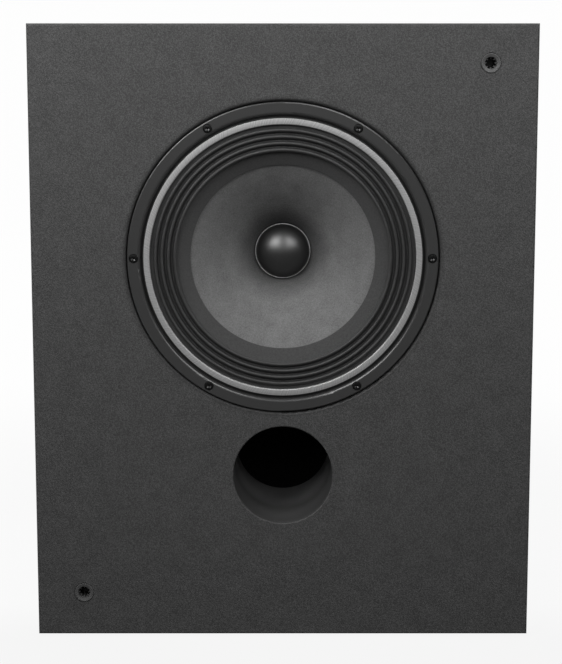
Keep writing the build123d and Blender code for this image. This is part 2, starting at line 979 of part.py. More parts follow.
def spade_connectors():
    places = [driver_connector_place(x) for x in tab_sides]
    places += [post_connector_place(side) for side in (-1, 1)]
    return spread(spade_connector(), places)


def lead_wire(name, side):
    start_y = connector_length + barrel_length - barrel_bore_depth
    start = (driver_connector_place(side * tab_spacing / 2) * Pos(0, start_y, 0)).position
    end = (post_connector_place(side) * Pos(0, start_y, 0)).position
    points = [
        start,
        start + Vector(0, wire_lead_out, 0),
        start + Vector(0, wire_bend_reach, -wire_bend_drop),
        start + Vector(0, wire_fall_reach, -wire_fall_drop),
        Vector(end.X, end.Y - wire_rise_reach, end.Z - wire_rise_drop),
        Vector(end.X, end.Y - wire_lead_in, end.Z),
        end,
    ]
    return cord(name, points, wire_radius)


red = -1
black = 1
upper_socket, lower_socket = socket_places()

nodes = {
    "front_baffle": front_baffle(),
    "back_panel": back_panel(),
    "top_panel": level_panel(inner_top, top_z),
    "bottom_panel": level_panel(base_z, base_z),
    "left_side_panel": side_panel(-1),
    "right_side_panel": side_panel(1),
    "window_brace": window_brace(),
    "rubber_feet": rubber_feet(),
    "damping_pad_left": side_pad(-1),
    "damping_pad_right": side_pad(1),
    "damping_pad_back": back_pad(),
    "port_tube": port_tube(),
    "grille_socket_upper": upper_socket * grille_socket(),
    "grille_socket_lower": lower_socket * grille_socket(),
    "driver_frame": driver_frame(),
    "driver_gasket": driver_gasket(),
    "driver_screws": driver_screws(),
    "clamp_ring": clamp_ring(),
    "surround": surround(),
    "cone": cone(),
    "dust_cap": dust_cap(),
    "dust_cap_ring": dust_cap_ring(),
    "voice_coil_former": voice_coil_former(),
    "voice_coil": voice_coil(),
    "spider": spider(),
    "top_plate": top_plate(),
    "magnet": magnet(),
    "yoke": yoke(),
    "frame_screws": frame_screws(),
    "driver_terminal_strip": driver_terminal_strip(),
    "driver_tabs": driver_tabs(),
    "tinsel_leads": tinsel_leads(),
    "terminal_cup": terminal_cup(),
    "terminal_gasket": terminal_gasket(),
    "terminal_screws": terminal_screws(),
    "red_post_stud": post_stud(red),
    "black_post_stud": post_stud(black),
    "red_post_collar": post_collar(red),
    "black_post_collar": post_collar(black),
    "red_post_washer": post_washer(red),
    "black_post_washer": post_washer(black),
    "red_post_knob": post_knob(red),
    "black_post_knob": post_knob(black),
    "post_nuts": post_nuts(),
    "post_tags": post_tags(),
    "red_lead_wire": lead_wire("red wire", red),
    "black_lead_wire": lead_wire("black wire", black),
    "spade_connectors": spade_connectors(),
}

os.makedirs("parts", exist_ok=True)
for name, shape in nodes.items():
    export_step(shape, os.path.join("parts", name + ".step"))
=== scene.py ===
import bpy
import bmesh
import math
from mathutils import Matrix, Vector, noise
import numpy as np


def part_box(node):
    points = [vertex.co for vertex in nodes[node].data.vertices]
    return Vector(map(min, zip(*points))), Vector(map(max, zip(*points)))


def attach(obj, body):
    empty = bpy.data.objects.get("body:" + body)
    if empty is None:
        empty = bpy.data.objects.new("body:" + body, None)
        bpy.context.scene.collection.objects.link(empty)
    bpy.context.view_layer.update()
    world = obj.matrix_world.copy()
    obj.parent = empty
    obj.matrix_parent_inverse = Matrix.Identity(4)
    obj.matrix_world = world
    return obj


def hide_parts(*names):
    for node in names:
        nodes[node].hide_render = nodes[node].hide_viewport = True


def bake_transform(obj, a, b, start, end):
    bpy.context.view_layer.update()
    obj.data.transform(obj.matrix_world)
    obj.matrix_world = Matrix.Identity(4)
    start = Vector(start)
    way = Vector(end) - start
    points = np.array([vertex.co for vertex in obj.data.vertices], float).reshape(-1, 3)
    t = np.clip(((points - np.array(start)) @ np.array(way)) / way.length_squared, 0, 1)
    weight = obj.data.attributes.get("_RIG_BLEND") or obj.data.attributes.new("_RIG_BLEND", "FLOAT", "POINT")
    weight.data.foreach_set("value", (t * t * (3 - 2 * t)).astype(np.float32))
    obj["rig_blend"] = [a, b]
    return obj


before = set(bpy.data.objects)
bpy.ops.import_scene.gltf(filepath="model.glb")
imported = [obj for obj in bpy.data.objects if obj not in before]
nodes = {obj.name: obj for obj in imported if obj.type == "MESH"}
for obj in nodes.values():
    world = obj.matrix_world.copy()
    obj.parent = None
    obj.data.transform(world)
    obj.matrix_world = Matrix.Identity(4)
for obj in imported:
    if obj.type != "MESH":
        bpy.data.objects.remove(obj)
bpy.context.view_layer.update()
print("loaded", len(nodes), "nodes")

mm = 0.001
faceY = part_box("front_baffle")[0].y
driverZ = sum(corner.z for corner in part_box("clamp_ring")) / 2


def hexColour(code):
    # sRGB hex to the linear values that the shader wants
    parts = [int(code[i:i + 2], 16) / 255 for i in (1, 3, 5)]
    linear = [c / 12.92 if c <= 0.04045 else ((c + 0.055) / 1.055) ** 2.4 for c in parts]
    return (*linear, 1.0)


def addNode(tree, kind, values=None, feeds=None, stops=None, **settings):
    node = tree.nodes.new(kind)
    for key, value in settings.items():
        setattr(node, key, value)
    for key, value in (values or {}).items():
        node.inputs[key].default_value = value
    for key, source in (feeds or {}).items():
        tree.links.new(source, node.inputs[key])
    for index, (place, code) in enumerate(stops or []):
        elements = node.color_ramp.elements
        ends = {0: elements[0], len(stops) - 1: elements[-1]}
        element = ends.get(index) or elements.new(place)
        element.position = place
        element.color = hexColour(code)
    return node


def newMaterial(name, colour, roughness, **values):
    material = bpy.data.materials.new(name)
    material.use_nodes = True
    tree = material.node_tree
    shader = tree.nodes["Principled BSDF"]
    shader.inputs["Base Color"].default_value = hexColour(colour)
    shader.inputs["Roughness"].default_value = roughness
    for key, value in values.items():
        shader.inputs[key].default_value = value
    place = addNode(tree, "ShaderNodeTexCoord").outputs["Object"]
    return material, tree, shader, place


def dress(tree, shader, **feeds):
    # links named sockets of the shader, with the underscore standing for a space
    for key, source in feeds.items():
        tree.links.new(source, shader.inputs[key.replace("_", " ")])


def driverPlace(tree, place):
    # distance from the driver's axis, angle round it, and depth
    centred = addNode(
        tree, "ShaderNodeMapping", {"Location": (0, 0, -driverZ)}, {"Vector": place}
    ).outputs[0]
    axes = addNode(tree, "ShaderNodeSeparateXYZ", feeds={"Vector": centred}).outputs
    angle = addNode(
        tree, "ShaderNodeMath", feeds={0: axes["Z"], 1: axes["X"]}, operation="ARCTAN2"
    ).outputs[0]
    flat = addNode(tree, "ShaderNodeCombineXYZ", feeds={"X": axes["X"], "Y": axes["Z"]}).outputs[0]
    radius = addNode(tree, "ShaderNodeVectorMath", feeds={0: flat}, operation="LENGTH").outputs["Value"]
    return radius, angle, axes["Y"]


# Where finishes, painted shade and painted light change: millimetres from the driver's axis, then
# millimetres behind the baffle's face
radiusBands = {
    "flangeShadeHalo": (105.4, 110), "grooveShade": (95.6, 96.5),
    "dopedRidges": (71.4, 72.4), "neckShade": (20, 37),
}
depthBands = {"paintedFront": (10, 11), "flangeFront": (4, 5), "tubeLightRamp": (10, 90)}


def radiusRange(band):
    first, last = radiusBands[band]
    return {"From Min": first * mm, "From Max": last * mm}


def depthRange(band):
    first, last = depthBands[band]
    return {"From Min": faceY + first * mm, "From Max": faceY + last * mm}


# Materials


def spatterPaint():
    # spatter paint on fibreboard: a dry dark grey whose fine pebbled grain breaks up every highlight
    # painted shade: the paint is darkened round the driver's flange, out to 4.6 mm, standing in for the soft
    # shadow about it
    material, tree, shader, place = newMaterial("spatterPaint", "#3d3d3d", 0.58)
    shader.inputs["Specular IOR Level"].default_value = 0.35
    pebbles = addNode(
        tree, "ShaderNodeTexNoise", {"Scale": 1 / (0.75 * mm), "Detail": 3.0, "Roughness": 0.6},
        {"Vector": place},
    ).outputs["Fac"]
    patches = addNode(
        tree, "ShaderNodeTexNoise", {"Scale": 1 / (14 * mm), "Detail": 3.0}, {"Vector": place}
    ).outputs["Fac"]
    mix = addNode(
        tree, "ShaderNodeMath", {1: 0.14}, {0: patches, 2: pebbles}, operation="MULTIPLY_ADD"
    ).outputs[0]
    colour = addNode(
        tree, "ShaderNodeValToRGB", feeds={"Fac": mix},
        stops=[(0.36, "#2a2a2a"), (0.56, "#3d3d3d"), (0.8, "#545454")],
    )
    radius, _, depth = driverPlace(tree, place)
    # painted shade: darker paint by the flange's edge, fading out by 110 mm from the axis, on the front face
    # only
    away = addNode(
        tree, "ShaderNodeMapRange", {**radiusRange("flangeShadeHalo"), "To Min": 0.45, "To Max": 1.0},
        {"Value": radius}, interpolation_type="SMOOTHSTEP",
    ).outputs["Result"]
    behind = addNode(
        tree, "ShaderNodeMapRange", depthRange("paintedFront"), {"Value": depth}
    ).outputs["Result"]
    even = addNode(tree, "ShaderNodeMath", feeds={0: away, 1: behind}, operation="MAXIMUM").outputs[0]
    coat = addNode(
        tree, "ShaderNodeMix", {"Factor": 1.0}, {"A": colour.outputs["Color"], "B": even},
        data_type="RGBA", blend_type="MULTIPLY",
    )
    bump = addNode(tree, "ShaderNodeBump", {"Distance": 0.3 * mm, "Strength": 0.9}, {"Height": pebbles})
    dress(tree, shader, Base_Color=coat.outputs["Result"], Normal=bump.outputs["Normal"])
    return material


def powderCoat():
    # powder coated casting: even satin grey with faint orange peel, with painted shade making the groove
    # inside the flange near black
    material, tree, shader, place = newMaterial("powderCoat", "#343434", 0.3)
    shader.inputs["Specular IOR Level"].default_value = 0.7
    radius, _, depth = driverPlace(tree, place)
    # painted shade: the casting goes near black inside the groove, on its front 4 mm only
    outside = addNode(
        tree, "ShaderNodeMapRange", radiusRange("grooveShade"), {"Value": radius}
    ).outputs["Result"]
    behind = addNode(
        tree, "ShaderNodeMapRange", depthRange("flangeFront"), {"Value": depth}
    ).outputs["Result"]
    unshadedCasting = addNode(tree, "ShaderNodeMath", feeds={0: outside, 1: behind}, operation="MAXIMUM").outputs[0]
    colour = addNode(
        tree, "ShaderNodeValToRGB", feeds={"Fac": unshadedCasting}, stops=[(0.0, "#060606"), (1.0, "#343434")]
    )
    peel = addNode(
        tree, "ShaderNodeTexNoise", {"Scale": 1 / (0.7 * mm), "Detail": 1.0}, {"Vector": place}
    ).outputs["Fac"]
    bump = addNode(tree, "ShaderNodeBump", {"Distance": 0.02 * mm, "Strength": 0.5}, {"Height": peel})
    dress(tree, shader, Base_Color=colour.outputs["Color"], Normal=bump.outputs["Normal"])
    return material


def turnedAluminium():
    # aluminium faced on a lathe: bright, with fine rings from the cut and a faint slanting hatch
    # the hatch is drawn at 0.7 mm, coarser than life, so that it shows
    material, tree, shader, place = newMaterial("turnedAluminium", "#b6b6b6", 0.56, Metallic=1.0)
    radius, angle, _ = driverPlace(tree, place)
    across = addNode(tree, "ShaderNodeCombineXYZ", feeds={"X": radius}).outputs[0]
    cuts = addNode(
        tree, "ShaderNodeTexNoise", {"Scale": 1 / (0.35 * mm), "Detail": 2.0, "Roughness": 0.7},
        {"Vector": across},
    ).outputs["Fac"]
    slant = addNode(
        tree, "ShaderNodeMath", {1: 1 / (1.6 * mm)}, {0: radius}, operation="MULTIPLY"
    ).outputs[0]
    ringMiddle, hatchPitch = 92, 0.7
    along = addNode(
        tree, "ShaderNodeMath", {1: ringMiddle / hatchPitch}, {0: angle, 2: slant}, operation="MULTIPLY_ADD"
    ).outputs[0]
    hatch = addNode(
        tree, "ShaderNodeTexNoise", {"Scale": 1.0, "Detail": 1.0}, {"W": along}, noise_dimensions="1D"
    ).outputs["Fac"]
    finish = addNode(
        tree, "ShaderNodeMix", {"Factor": 0.38}, {"A": cuts, "B": hatch}, data_type="FLOAT"
    ).outputs["Result"]
    colour = addNode(
        tree, "ShaderNodeValToRGB", feeds={"Fac": finish}, stops=[(0.3, "#9a9a9a"), (0.7, "#d0d0d0")]
    )
    bump = addNode(tree, "ShaderNodeBump", {"Distance": 0.03 * mm, "Strength": 0.6}, {"Height": cuts})
    dress(tree, shader, Base_Color=colour.outputs["Color"], Normal=bump.outputs["Normal"])
    return material


def dopedCloth():
    # cotton edge: the ridges are black and doped, so each crest glints; the band on the cone is bare felt
    # threads are drawn at 0.9 mm, coarser than life, so that the weave shows
    material, tree, shader, place = newMaterial("dopedCloth", "#111111", 0.57)
    shader.inputs["Specular IOR Level"].default_value = 0.78
    radius, angle, _ = driverPlace(tree, place)
    threadsRound, threadPitch = 540.0, 0.9
    around = addNode(tree, "ShaderNodeMath", {1: threadsRound}, {0: angle}, operation="MULTIPLY").outputs[0]
    outwards = addNode(
        tree, "ShaderNodeMath", {1: 2 * math.pi / (threadPitch * mm)}, {0: radius}, operation="MULTIPLY"
    ).outputs[0]
    warp, weft = [
        addNode(tree, "ShaderNodeMath", feeds={0: way}, operation="SINE").outputs[0]
        for way in (around, outwards)
    ]
    weave = addNode(tree, "ShaderNodeMath", feeds={0: warp, 1: weft}, operation="MULTIPLY").outputs[0]
    blots = addNode(
        tree, "ShaderNodeTexNoise", {"Scale": 1 / (1.1 * mm), "Detail": 4.0, "Roughness": 0.7},
        {"Vector": place},
    ).outputs["Fac"]
    doped = addNode(
        tree, "ShaderNodeMapRange", radiusRange("dopedRidges"), {"Value": radius}
    ).outputs["Result"]
    bare, coated = [
        addNode(tree, "ShaderNodeValToRGB", feeds={"Fac": blots}, stops=stops).outputs["Color"]
        for stops in ([(0.3, "#2c2c2c"), (0.7, "#3e3e3e")], [(0.3, "#0b0b0b"), (0.7, "#151515")])
    ]
    colour = addNode(
        tree, "ShaderNodeMix", feeds={"Factor": doped, "A": bare, "B": coated}, data_type="RGBA"
    )
    sheen = addNode(tree, "ShaderNodeMapRange", {"To Min": 0.95, "To Max": 0.57}, {"Value": doped})
    bump = addNode(tree, "ShaderNodeBump", {"Distance": 0.08 * mm, "Strength": 0.5}, {"Height": weave})
    dress(
        tree, shader, Base_Color=colour.outputs["Result"], Roughness=sheen.outputs["Result"],
        Normal=bump.outputs["Normal"],
    )
    return material


def pressedPulp():
    # pressed pulp: soft grey felt with short fibres and faint clouds, with painted shade darkening it
    # towards the neck round the dome
    material, tree, shader, place = newMaterial("pressedPulp", "#5c5c5c", 0.8)
    fibres = addNode(
        tree, "ShaderNodeTexNoise", {"Scale": 1 / (0.9 * mm), "Detail": 4.0, "Roughness": 0.7},
        {"Vector": place},
    ).outputs["Fac"]
    clouds = addNode(
        tree, "ShaderNodeTexNoise", {"Scale": 1 / (9 * mm), "Detail": 2.0}, {"Vector": place}
    ).outputs["Fac"]
    mix = addNode(
        tree, "ShaderNodeMath", {1: 0.3}, {0: clouds, 2: fibres}, operation="MULTIPLY_ADD"
    ).outputs[0]
    paper = addNode(
        tree, "ShaderNodeValToRGB", feeds={"Fac": mix}, stops=[(0.4, "#4c4c4c"), (0.9, "#737373")]
    )
    radius, _, _ = driverPlace(tree, place)
    # painted shade: the pulp darkens from 37 mm in to the neck at 20 mm, round the dome
    neckShadeFactor = addNode(
        tree, "ShaderNodeMapRange", {**radiusRange("neckShade"), "To Min": 0.4, "To Max": 1.0},
        {"Value": radius}, interpolation_type="SMOOTHSTEP",
    ).outputs["Result"]
    colour = addNode(
        tree, "ShaderNodeMix", {"Factor": 1.0}, {"A": paper.outputs["Color"], "B": neckShadeFactor},
        data_type="RGBA", blend_type="MULTIPLY",
    )
    bump = addNode(tree, "ShaderNodeBump", {"Distance": 0.12 * mm, "Strength": 0.6}, {"Height": fibres})
    dress(tree, shader, Base_Color=colour.outputs["Result"], Normal=bump.outputs["Normal"])
    return material


def mouldedPlastic(name, colour, roughness, texture=0.5, height=0.02, **values):
    # injection moulded plastic: even colour under a fine spark eroded skin
    # texture is the width of the skin's lumps and height their depth, both in millimetres
    material, tree, shader, place = newMaterial(name, colour, roughness, **values)
    skin = addNode(
        tree, "ShaderNodeTexNoise", {"Scale": 1 / (texture * mm), "Detail": 2.0}, {"Vector": place}
    ).outputs["Fac"]
    bump = addNode(tree, "ShaderNodeBump", {"Distance": height * mm, "Strength": 0.5}, {"Height": skin})
    dress(tree, shader, Normal=bump.outputs["Normal"])
    return material


def tubePaintedLight():
    # extruded grey tube, with painted light: its wall is coloured dark near the mouth and lighter deeper in,
    # so the far wall looks lit
    material, tree, shader, place = newMaterial("tubePaintedLight", "#404040", 0.6)
    depth = addNode(tree, "ShaderNodeSeparateXYZ", feeds={"Vector": place}).outputs["Y"]
    # painted light: the wall's colour brightens from 10 mm to 90 mm behind the face
    bare = addNode(
        tree, "ShaderNodeMapRange", depthRange("tubeLightRamp"), {"Value": depth}
    ).outputs["Result"]
    colour = addNode(
        tree, "ShaderNodeValToRGB", feeds={"Fac": bare},
        stops=[(0.0, "#363636"), (0.4, "#4a4a4a"), (0.7, "#929292"), (1.0, "#b0b0b0")],
    )
    specks = addNode(
        tree, "ShaderNodeTexNoise", {"Scale": 1 / (0.8 * mm), "Detail": 2.0}, {"Vector": place}
    ).outputs["Fac"]
    bump = addNode(tree, "ShaderNodeBump", {"Distance": 0.04 * mm, "Strength": 0.5}, {"Height": specks})
    dress(tree, shader, Base_Color=colour.outputs["Color"], Normal=bump.outputs["Normal"])
    return material


def platedMetal(name, colour, roughness):
    # plated, drawn or oxidised metal: mirror body with slightly uneven dulling, 0.8 mm patches
    material, tree, shader, place = newMaterial(name, colour, roughness, Metallic=1.0)
    dulling = addNode(
        tree, "ShaderNodeTexNoise", {"Scale": 1 / (0.8 * mm), "Detail": 3.0}, {"Vector": place}
    ).outputs["Fac"]
    spread = addNode(
        tree, "ShaderNodeMapRange", {"To Min": roughness - 0.1, "To Max": roughness + 0.12},
        {"Value": dulling},
    )
    dress(tree, shader, Roughness=spread.outputs["Result"])
    return material


def mattedFibre(name, dark, light, size, height, roughness=0.9):
    # pressed, sintered or matted stuff: no shine, mottled in lumps of this size and height in millimetres
    material, tree, shader, place = newMaterial(name, light, roughness)
    lumps = addNode(
        tree, "ShaderNodeTexNoise", {"Scale": 1 / (size * mm), "Detail": 5.0, "Roughness": 0.7},
        {"Vector": place},
    ).outputs["Fac"]
    colour = addNode(tree, "ShaderNodeValToRGB", feeds={"Fac": lumps}, stops=[(0.3, dark), (0.7, light)])
    bump = addNode(tree, "ShaderNodeBump", {"Distance": height * mm, "Strength": 0.7}, {"Height": lumps})
    dress(tree, shader, Base_Color=colour.outputs["Color"], Normal=bump.outputs["Normal"])
    return material


paint = spatterPaint()
casting = powderCoat()
turned = turnedAluminium()
cloth = dopedCloth()
pulp = pressedPulp()
domeSkin = mouldedPlastic(
    "lacqueredDome", "#030303", 0.43, 0.5, 0.006, IOR=1.62, **{"Specular IOR Level": 0.95}
)
portSkin = tubePaintedLight()
socketSkin = mouldedPlastic("socketNylon", "#464646", 0.52)
cupSkin = mouldedPlastic("cupPlastic", "#191919", 0.5, 0.9, 0.04)
redSkin = mouldedPlastic("redKnobPlastic", "#a01a18", 0.28)
blackSkin = mouldedPlastic("blackKnobPlastic", "#121212", 0.28)
rubber = mouldedPlastic("footRubber", "#1a1a1a", 0.8)
redCover = mouldedPlastic("redWireCover", "#9c1c1a", 0.42)
blackCover = mouldedPlastic("blackWireCover", "#151515", 0.42)
foam = mattedFibre("closedFoam", "#101010", "#1c1c1c", 0.8, 0.1)
board = mattedFibre("dyedFibreboard", "#26221f", "#3a342f", 1.5, 0.08)
wadding = mattedFibre("polyesterWadding", "#b9b7b0", "#d9d7d0", 6, 1.2)
spiderCloth = mattedFibre("resinCotton", "#8d6a35", "#b58c50", 0.9, 0.1)
phenolic = mattedFibre("phenolicBoard", "#5a3a22", "#744c2e", 2, 0.02, 0.5)
ferrite = mattedFibre("sinteredFerrite", "#262626", "#353535", 1.2, 0.05, 0.6)
blackSteel = platedMetal("blackOxideSteel", "#3a3a3a", 0.34)
zinc = platedMetal("zincPlate", "#bdb9ae", 0.35)
gold = platedMetal("goldPlate", "#d9b35a", 0.22)
copper = platedMetal("enamelledCopper", "#b8683a", 0.35)
beadSkin = mouldedPlastic("paintedBead", "#b4b4b4", 0.5)
bareAluminium = platedMetal("rolledAluminium", "#c2c4c6", 0.35)

finishes = {
    paint: [
        "front_baffle", "back_panel", "top_panel", "bottom_panel", "left_side_panel", "right_side_panel",
    ],
    board: ["window_brace"],
    rubber: ["rubber_feet"],
    socketSkin: ["grille_socket_upper", "grille_socket_lower"],
    casting: ["driver_frame"],
    foam: ["driver_gasket", "terminal_gasket"],
    blackSteel: ["driver_screws", "terminal_screws"],
    bareAluminium: ["voice_coil_former"],
    copper: ["voice_coil", "tinsel_leads"],
    zinc: [
        "top_plate", "yoke", "frame_screws", "post_nuts", "driver_tabs", "post_tags", "spade_connectors",
    ],
    ferrite: ["magnet"],
    phenolic: ["driver_terminal_strip"],
    cupSkin: ["terminal_cup"],
    gold: ["red_post_stud", "black_post_stud", "red_post_washer", "black_post_washer"],
    redSkin: ["red_post_collar", "red_post_knob"],
    blackSkin: ["black_post_collar", "black_post_knob"],
    redCover: ["red_lead_wire"],
    blackCover: ["black_lead_wire"],
    portSkin: ["port_tube"],
    turned: ["clamp_ring", "dust_cap_ring"],
    cloth: ["surround"],
    pulp: ["cone"],
    domeSkin: ["dust_cap"],
    spiderCloth: ["spider"],
    wadding: ["damping_pad_left", "damping_pad_right", "damping_pad_back"],
}
for material, names in finishes.items():
    for name in names:
        nodes[name].data.materials.clear()
        nodes[name].data.materials.append(material)
print("materials set on", sum(len(names) for names in finishes.values()), "nodes")


# Round pieces of the driver, spun about its axis


def addPiece(name, bm, material, body=None, crease=40):
    bmesh.ops.remove_doubles(bm, verts=bm.verts[:], dist=1e-7)
    bmesh.ops.recalc_face_normals(bm, faces=bm.faces[:])
    mesh = bpy.data.meshes.new(name)
    bm.to_mesh(mesh)
    bm.free()
    for polygon in mesh.polygons:
        polygon.use_smooth = True
    mesh.set_sharp_from_angle(angle=math.radians(crease))
    mesh.materials.append(material)
    piece = bpy.data.objects.new(name, mesh)
    bpy.context.scene.collection.objects.link(piece)
    if body is not None:
        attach(piece, body)
    return piece


def spunSection(section, rounds=None, steps=180, closed=True):
    # section corners are millimetres from the axis and millimetres behind the baffle's face
    bm = bmesh.new()
    corners = [bm.verts.new((r * mm, faceY + d * mm, driverZ)) for r, d in section]
    for first, second in zip(corners, corners[1:]):
        bm.edges.new((first, second))
    if closed:
        bm.faces.new(corners)
        for index, size in (rounds or {}).items():
            bmesh.ops.bevel(
                bm, geom=[corners[index]], offset=size * mm, offset_type="OFFSET", affect="VERTICES",
                segments=5, profile=0.5, material=-1,
            )
        bmesh.ops.delete(bm, geom=bm.faces[:], context="FACES_ONLY")
    bmesh.ops.spin(
        bm, geom=bm.verts[:] + bm.edges[:], cent=(0, 0, driverZ), axis=(0, 1, 0),
        angle=2 * math.pi, steps=steps, use_merge=True,
    )
    return bm


def nodeRadius(node):
    low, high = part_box(node)
    return (high.x - low.x) / 2 / mm


def nodeDepths(node):
    low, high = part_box(node)
    return (low.y - faceY) / mm, (high.y - faceY) / mm


def between(first, last, count):
    return [first + (last - first) * i / (count - 1) for i in range(count)]


ringSize = {"width": 4.2, "innerEdge": 0.6, "outerEdge": 0.15}
ringOut = nodeRadius("clamp_ring")
ringIn = ringOut - ringSize["width"]
ringFront, ringBack = nodeDepths("clamp_ring")
clampRing = addPiece(
    "clampRing",
    spunSection(
        [(ringIn, ringBack), (ringIn, ringFront), (ringOut, ringFront), (ringOut, ringBack)],
        {1: ringSize["innerEdge"], 2: ringSize["outerEdge"]},
    ),
    turned, "cabinet",
)
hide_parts("clamp_ring")

# The cone's wall is an arc, bowed towards the axis, from the neck to the edge
coneSize = {
    "neckRadius": 19.15, "edgeRadius": 72.2, "edgeDepth": 4.0, "drop": 42.0, "bow": 4.0, "wall": 0.8,
    "points": 28,
}
neck = Vector((coneSize["neckRadius"], coneSize["edgeDepth"] + coneSize["drop"]))
rim = Vector((coneSize["edgeRadius"], coneSize["edgeDepth"]))
span = rim - neck
bowRadius = (span.length ** 2 / 4 + coneSize["bow"] ** 2) / (2 * coneSize["bow"])
bowCentre = (neck + rim) / 2 + Vector((-span.y, span.x)).normalized() * (bowRadius - coneSize["bow"])


def coneDepth(radius, lift=0.0):
    # depth of a layer that stands this far in front of the paper
    return bowCentre.y - math.sqrt((bowRadius + lift) ** 2 - (bowCentre.x - radius) ** 2)


def coneLayer(inner, outer, lift, thickness, count):
    front = [(r, coneDepth(r, lift + thickness)) for r in between(inner, outer, count)]
    back = [(r, coneDepth(r, lift)) for r in between(outer, inner, count)]
    return front, back


front, back = coneLayer(neck.x, rim.x, -coneSize["wall"], coneSize["wall"], coneSize["points"])
coneShell = addPiece("paperCone", spunSection(front + back), pulp, "moving_cone")
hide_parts("cone")

edgeSize = {
    "ridges": 4, "pitch": 4.37, "line": 1.7925, "innerFoot": 71.9, "cloth": 0.6, "glue": 0.2, "band": 9.5,
    "arcPoints": 13, "bandPoints": 10, "steps": 240,
}
halfCloth = edgeSize["cloth"] / 2
ridgeRadius = edgeSize["pitch"] / 4
faceSide = []
backSide = []
lastArc = 2 * edgeSize["ridges"] - 2
for k in range(lastArc + 1):
    # half circles, a ridge and then a valley; each but the last leaves its end to the next
    middle = edgeSize["innerFoot"] + ridgeRadius * (2 * k + 1)
    way = 1 if k % 2 == 0 else -1
    for angle in between(math.pi, 0, edgeSize["arcPoints"])[:-1 if k < lastArc else None]:
        across, forward = math.cos(angle), math.sin(angle)
        faceSide.append((
            middle + (ridgeRadius + way * halfCloth) * across,
            edgeSize["line"] - way * (ridgeRadius + way * halfCloth) * forward,
        ))
        backSide.append((
            middle + (ridgeRadius - way * halfCloth) * across,
            edgeSize["line"] - way * (ridgeRadius - way * halfCloth) * forward,
        ))
bandIn = rim.x - edgeSize["band"]
bandFront, bandBack = coneLayer(
    bandIn, faceSide[0][0], edgeSize["glue"], edgeSize["cloth"], edgeSize["bandPoints"]
)
seat = ringBack + edgeSize["cloth"]
lipOut = nodeRadius("surround")
lip = [
    (faceSide[-1][0], ringBack),
    (lipOut, ringBack),
    (lipOut, seat),
    (backSide[-1][0], seat),
]
foot = [(backSide[0][0], coneDepth(backSide[0][0], edgeSize["glue"]))]
surround = addPiece(
    "clothEdge",
    spunSection(bandFront + faceSide + lip + backSide[::-1] + foot + bandBack[1:], steps=edgeSize["steps"]),
    cloth,
)
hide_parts("surround")


def shareMotion(piece, still, moving):
    # radius where the cloth is held still, and radius where it moves with the cone
    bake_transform(piece, "cabinet", "moving_cone", (0, faceY, driverZ), (0, faceY, driverZ + still * mm))
    weights = piece.data.attributes["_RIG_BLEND"].data
    for vertex, weight in zip(piece.data.vertices, weights):
        radius = math.hypot(vertex.co.x, vertex.co.z - driverZ) / mm
        share = min(max((still - radius) / (still - moving), 0), 1)
        weight.value = share * share * (3 - 2 * share)


shareMotion(surround, faceSide[-1][0], faceSide[0][0])

domeSize = {"radius": 18.65, "height": 12.5, "wall": 0.8, "points": 24, "steps": 120}
domeFront, domeEnd = nodeDepths("dust_cap")
domeBase = domeFront + domeSize["height"]


def domeArc(radius, height, count):
    ball = (radius ** 2 + height ** 2) / (2 * height)
    reach = math.asin(radius / ball)
    return [
        (ball * math.sin(a), domeBase - height + ball - ball * math.cos(a))
        for a in between(0, reach, count)
    ]


innerRadius = domeSize["radius"] - domeSize["wall"]
outside = domeArc(domeSize["radius"], domeSize["height"], domeSize["points"])
inside = domeArc(innerRadius, domeSize["height"] - domeSize["wall"], domeSize["points"])
skirt = [(domeSize["radius"], domeEnd), (innerRadius, domeEnd)]
bm = spunSection(outside + skirt + inside[::-1], closed=False, steps=domeSize["steps"])
dome = addPiece("domeCap", bm, domeSkin, "moving_cone")
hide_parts("dust_cap")

beadSize = {"inner": 18.7, "outer": 19.15, "front": 44.0, "back": 45.0, "round": 0.3, "steps": 120}
bead = addPiece(
    "domeBead",
    spunSection(
        [
            (beadSize["inner"], beadSize["back"]), (beadSize["inner"], beadSize["front"]),
            (beadSize["outer"], beadSize["front"]), (beadSize["outer"], beadSize["back"]),
        ],
        {1: beadSize["round"], 2: beadSize["round"]}, beadSize["steps"],
    ),
    beadSkin, "moving_cone",
)
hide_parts("dust_cap_ring")

# Cross head screws: the arms of each recess slope up from a small deep square
# Edge corners are radius and depth, recess steps are reach, half width and depth, turns are degrees
screwSize = {
    "circle": 100.75, "end": 18.0, "tip": 1.2, "core": 0.01, "shank": 1.75, "seat": 1.2, "head": 2.7,
    "top": -0.8, "steps": 36,
    "edge": [(2.7, -0.55), (2.66, -0.68), (2.57, -0.77), (2.45, -0.8)],
    "recess": [(1.6, 0.48, -0.8), (0.6, 0.42, -0.25), (0.5, 0.36, 0.5)],
    "turns": [38, 52, 45, 60, 41, 49],
}


def crossLoop(bm, reach, halfWidth, depth):
    # outline of a cross, three corners to each arm
    corners = []
    for arm in range(4):
        turn = math.pi / 2 * arm
        out, aside = Vector((math.cos(turn), math.sin(turn))), Vector((-math.sin(turn), math.cos(turn)))
        for spot in (
            out * reach - aside * halfWidth, out * reach + aside * halfWidth, (out + aside) * halfWidth
        ):
            corners.append(bm.verts.new((spot.x * mm, faceY + depth * mm, driverZ + spot.y * mm)))
    return [bm.edges.new((first, second)) for first, second in zip(corners, corners[1:] + corners[:1])]


def crossScrew():
    size = screwSize
    point = [(size["core"], size["end"]), (size["shank"], size["end"] - size["tip"])]
    neckAndHead = [(size["shank"], size["seat"]), (size["head"], size["seat"])]
    bm = spunSection(point + neckAndHead + size["edge"], steps=size["steps"], closed=False)
    topLine = faceY + size["top"] * mm
    loop = [edge for edge in bm.edges if all(abs(v.co.y - topLine) < 1e-6 for v in edge.verts)]
    for reach, halfWidth, depth in size["recess"]:
        following = crossLoop(bm, reach, halfWidth, depth)
        bmesh.ops.bridge_loops(bm, edges=loop + following)
        loop = following
    bmesh.ops.contextual_create(bm, geom=loop)
    return bm


